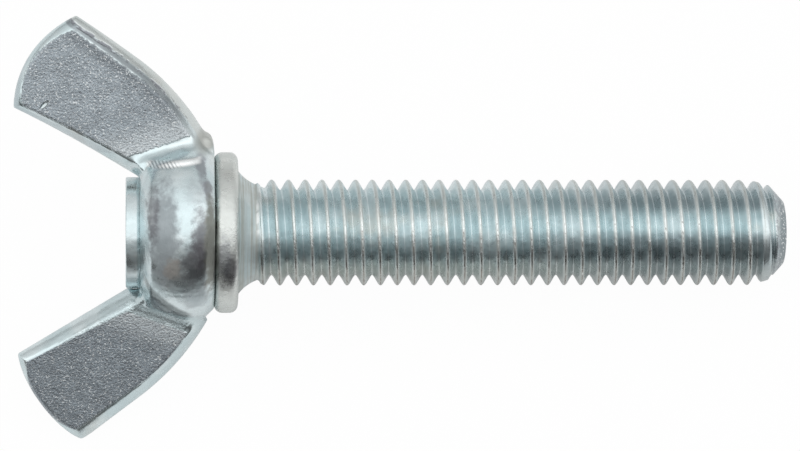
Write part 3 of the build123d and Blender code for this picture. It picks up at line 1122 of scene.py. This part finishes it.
def rim_coat(coat, rim):
    """Sheared outer wall of the +Y wing, with a dark strip and a broken groove beside it, its shade
    painted.
    """
    off_hub = coat.fade(coat.x, *EDGE_MARKS_END)
    strip = coat.product(coat.step(rim, *STRIP_BEGINS), coat.fade(rim, *STRIP_ENDS), off_hub)
    coat.tint(strip, LINED, 0.8)
    coat.tint(coat.fade(rim, *SHEARED), WARM, 0.55)
    waver = coat.waver(0.12, 1.2, 3.0)
    off_line = coat.reckon("ADD", coat.reckon("SUBTRACT", rim, RIM_LINE), waver)
    line = coat.fade(coat.reckon("ABSOLUTE", off_line), *RIM_LINE_HALF)
    patchy = coat.step(coat.mottle(0.55, 3.0, 0.7), 0.46, 0.56)
    line = coat.product(line, patchy, off_hub)
    # Painted shade along the groove line; the groove itself is sunk in the faces' finish.
    coat.tint(line, DUSKY, 0.9)
    return line


def face_colour(coat, rim):
    """Colour of the blasted faces: cloudy, darker near the rim, paler near the root."""
    lower = coat.fade(coat.from_axis, *SIDES)
    colour = coat.mixed(lower, BLASTED, BLASTED_LOWER)
    cloudy = coat.step(coat.mottle(0.7, 3.0, 0.6), 0.40, 0.62, 0.0, 0.30)
    colour = coat.mixed(cloudy, colour, BLASTED_RIM)
    colour = coat.mixed(coat.fade(rim, *FACE_MARGIN, 0.75), colour, BLASTED_RIM)
    near_root = coat.fade(coat.noted("past_foot"), *NEAR_FOOT, 0.75)
    return coat.mixed(near_root, colour, NEAR_ROOT)


def blasted_coat(coat, inset, rim, line):
    """Grainy faces with one dent; gives where they are, but for the dent."""
    upper = coat.step(coat.from_axis, *SIDES, 0.0, 0.09)
    ragged = coat.reckon("MULTIPLY_ADD", coat.mottle(2.6, 3.0, 0.7), 0.4, -0.17)
    ragged = coat.product(ragged, coat.step(coat.from_axis, *SIDES))
    edge = coat.reckon("ADD", coat.reckon("ADD", inset, upper), ragged)
    slant = coat.reckon("ADD", coat.x, coat.y)
    counter = coat.reckon("SUBTRACT", coat.y, coat.x)
    dent = coat.oval(slant, counter, DENT_CENTRE, DENT_SPREAD)
    blasted = coat.product(coat.step(edge, *FACE_BEGINS), coat.reckon("SUBTRACT", 1.0, dent))
    coat.tint(blasted, face_colour(coat, rim))

    grain = coat.mottle(6.5, 3.0, 0.65)
    coat.tint(coat.product(coat.fade(grain, 0.32, 0.46), blasted), STAIN_AND_SHADE, 0.6)
    # Painted glints scattered over the grain.
    sparks = coat.step(coat.mottle(7.5, 2.0, 0.6), 0.56, 0.68)
    coat.tint(coat.product(sparks, blasted), PAINTED_GLINT, 0.8)
    shelf = coat.step(coat.noted("grainy"), *SHELF_BEGINS)
    coat.raise_by(coat.product(grain, coat.reckon("MAXIMUM", blasted, shelf)), 0.06)
    coat.sink_by(line, 0.06)
    coat.sink_by(dent, 0.10)
    return blasted


def lip_coat(coat, wobble):
    """Raised lip where the +Y flare turns over onto the hub, with a painted highlight broken by
    ripples of painted shade.
    """
    slanted = coat.reckon("MULTIPLY_ADD", coat.y, RIPPLE_LEAN, coat.x)
    wave = coat.reckon("SINE", coat.product(slanted, 2 * pi / RIPPLE_PITCH))
    unsteady = coat.product(wobble, 0.2)
    rippled = coat.oval(coat.x, coat.y, RIPPLE_CENTRE, RIPPLE_SPREAD, unsteady)
    crest_y = coat.reckon("MULTIPLY_ADD", coat.x, LIP_SLOPE, LIP_MIDDLE - LIP_X * LIP_SLOPE)
    off_lip = coat.reckon("SUBTRACT", coat.from_axis, crest_y)
    above = coat.step(coat.z, *LIP_CLIMBS)
    lip = coat.product(
        coat.step(off_lip, *LIP_RISES),
        coat.fade(off_lip, *LIP_FALLS),
        coat.step(coat.x, *LIP_BEGINS),
        coat.fade(coat.x, *LIP_ENDS),
        above,
    )
    coat.raise_by(lip, 0.05)
    # Painted highlight along the lip, broken by ripples darkened with painted shade and sunk.
    lip_highlight = coat.product(
        coat.fade(coat.reckon("ABSOLUTE", off_lip), *LIP_HALF),
        coat.step(coat.x, *BRIGHT_LIP_BEGINS),
        coat.fade(coat.x, *BRIGHT_LIP_ENDS),
        above,
    )
    coat.tint(lip_highlight, PAINTED_GLINT)
    shaded_notches = coat.product(lip_highlight, rippled, coat.step(wave, 0.0, 0.7))
    coat.tint(shaded_notches, PAINTED_SHADE_GREY, 0.65)
    coat.sink_by(shaded_notches, 0.03)


def head_finish():
    """Zinc on the forged head: grainy blasted faces between smoother drafted walls."""
    coat = Coat("zinc_on_head", HUB_OFFSET)
    inset = coat.noted("inset")
    rim = coat.noted("rim")
    wobble = coat.waver(0.8, 1.5, 4.0, 0.65)
    on_hub = coat.fade(coat.reckon("ABSOLUTE", coat.from_axis), *HUB_ENDS)
    wear_and_shade, matt = worn_and_shaded_hub_coat(coat, wobble, on_hub)
    flash = wing_root_coat(coat, wobble, inset, rim)
    line = rim_coat(coat, rim)
    blasted = blasted_coat(coat, inset, rim, line)
    lip_coat(coat, wobble)
    coat.raise_by(coat.product(coat.mottle(1.6, 4.0, 0.7, (4.0, 1.0, 1.0)), wear_and_shade), 0.03)

    rough = coat.step(coat.mottle(0.9, 3.0, 0.6), 0.35, 0.7, 0.20, 0.34)
    for share, more in ((blasted, 0.10), (wear_and_shade, 0.12), (flash, 0.3), (matt, 0.25)):
        rough = coat.reckon("MULTIPLY_ADD", share, more, rough)
    return coat.finished(rough)


# ------------------------------------------------------------------ studio


FLOOR_SIZE = 0.6
FLOOR_NEAR = 0.036
FLOOR_GREY = 0.9
# How much of the floor glows white, as each kind of ray sees it.
FLOOR_WHITE = {"Is Camera Ray": 0.97, "Is Glossy Ray": 0.25, "Is Transmission Ray": 0.95}
# Brightness of the surround by the lean in degrees from straight up, towards +Y where positive.
SURROUND = (
    (-180, 0.50),
    (-112, 0.50),
    (-101, 0.32),
    (-94, 0.14),
    (-80, 0.10),
    (-67, 0.15),
    (-55, 0.29),
    (-43, 0.40),
    (-31, 0.74),
    (-20, 1.30),
    (3, 1.45),
    (24, 1.25),
    (36, 0.92),
    (60, 0.76),
    (83, 0.50),
    (180, 0.50),
)
# A ramp's colours stay below 1, so they are kept smaller by this and made up in strength.
SURROUND_STRENGTH = 2.0
VIEW_ROLL = 11.0
VIEW_PITCH = 3.6
VIEW_OFFSET = (12.09, 0.522, 309.5)
LENS = 187.2
SENSOR_WIDTH = 36.0
CLIP_START = 0.01
CLIP_END = 10.0


def add_floor():
    """Pale sheet under the screw, its near edge close by."""
    half = FLOOR_SIZE / 2
    mesh = bpy.data.meshes.new("floor")
    corners = [(-half, -FLOOR_NEAR, 0), (half, -FLOOR_NEAR, 0), (half, half, 0), (-half, half, 0)]
    mesh.from_pydata(corners, [], [(0, 1, 2, 3)])
    floor = put_in_scene("floor", mesh)
    material = bpy.data.materials.new("pale_floor")
    material.use_nodes = True
    tree = material.node_tree
    tree.nodes.clear()
    grey = (FLOOR_GREY, FLOOR_GREY, FLOOR_GREY, 1)
    paint = add_node(tree, "ShaderNodeBsdfDiffuse", {"Color": grey})
    glow = add_node(tree, "ShaderNodeEmission", {"Color": (1, 1, 1, 1), "Strength": 1.0})
    path = add_node(tree, "ShaderNodeLightPath")
    white = 0.0
    for ray, share in FLOOR_WHITE.items():
        white = reckon(tree, "MAXIMUM", white, reckon(tree, "MULTIPLY", path.outputs[ray], share))
    mix = add_node(tree, "ShaderNodeMixShader", {0: white, 1: paint.outputs[0], 2: glow.outputs[0]})
    add_node(tree, "ShaderNodeOutputMaterial", {0: mix.outputs[0]})
    mesh.materials.append(material)


def add_world():
    """Soft surround: bright over the screw, dark low on its near side, grey elsewhere."""
    world = bpy.data.worlds.new("studio")
    bpy.context.scene.world = world
    world.use_nodes = True
    tree = world.node_tree
    tree.nodes.clear()
    place = add_node(tree, "ShaderNodeTexCoord")
    split = add_node(tree, "ShaderNodeSeparateXYZ", {0: place.outputs["Generated"]})
    lean = reckon(tree, "ARCTAN2", split.outputs["Y"], split.outputs["Z"])
    share = reckon(tree, "MULTIPLY_ADD", lean, 1 / (2 * pi), 0.5)
    ramp = add_node(tree, "ShaderNodeValToRGB", {0: share})
    band = ramp.color_ramp
    while len(band.elements) < len(SURROUND):
        band.elements.new(0.5)
    for element, (lean_degrees, level) in zip(band.elements, SURROUND):
        element.position = lean_degrees / 360 + 0.5
        grey = level / SURROUND_STRENGTH
        element.color = (grey, grey, grey, 1)
    lit = {"Color": ramp.outputs[0], "Strength": SURROUND_STRENGTH}
    glow = add_node(tree, "ShaderNodeBackground", lit)
    white = add_node(tree, "ShaderNodeBackground", {"Color": (1, 1, 1, 1), "Strength": 1.0})
    seen = add_node(tree, "ShaderNodeLightPath").outputs["Is Camera Ray"]
    mix = add_node(tree, "ShaderNodeMixShader", {0: seen, 1: glow.outputs[0], 2: white.outputs[0]})
    add_node(tree, "ShaderNodeOutputWorld", {0: mix.outputs[0]})


def add_camera():
    """Looks down on the screw, leaning a little towards its -Y wing."""
    pitch = Matrix.Rotation(radians(VIEW_PITCH), 3, "Y")
    roll = Matrix.Rotation(radians(VIEW_ROLL), 3, "X")
    lying = SCREW.to_3x3() * (1 / MM)
    turn = lying @ (pitch @ roll).inverted()
    stand = SCREW.to_translation() + turn @ (Vector(VIEW_OFFSET) * MM)
    camera = put_in_scene("camera", bpy.data.cameras.new("camera"))
    camera.matrix_world = Matrix.Translation(stand) @ turn.to_4x4()
    camera.data.lens = LENS
    camera.data.sensor_width = SENSOR_WIDTH
    camera.data.clip_start = CLIP_START
    camera.data.clip_end = CLIP_END
    bpy.context.scene.camera = camera


# ------------------------------------------------------------------ assembly


stem_piece = stem(stem_finish())
head_piece = head(head_finish())
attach(stem_piece, "root")
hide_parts("threaded_stem")
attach(head_piece, "root")
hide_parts("wing_head")

add_floor()
add_world()
add_camera()
bpy.context.scene.view_settings.view_transform = "Standard"
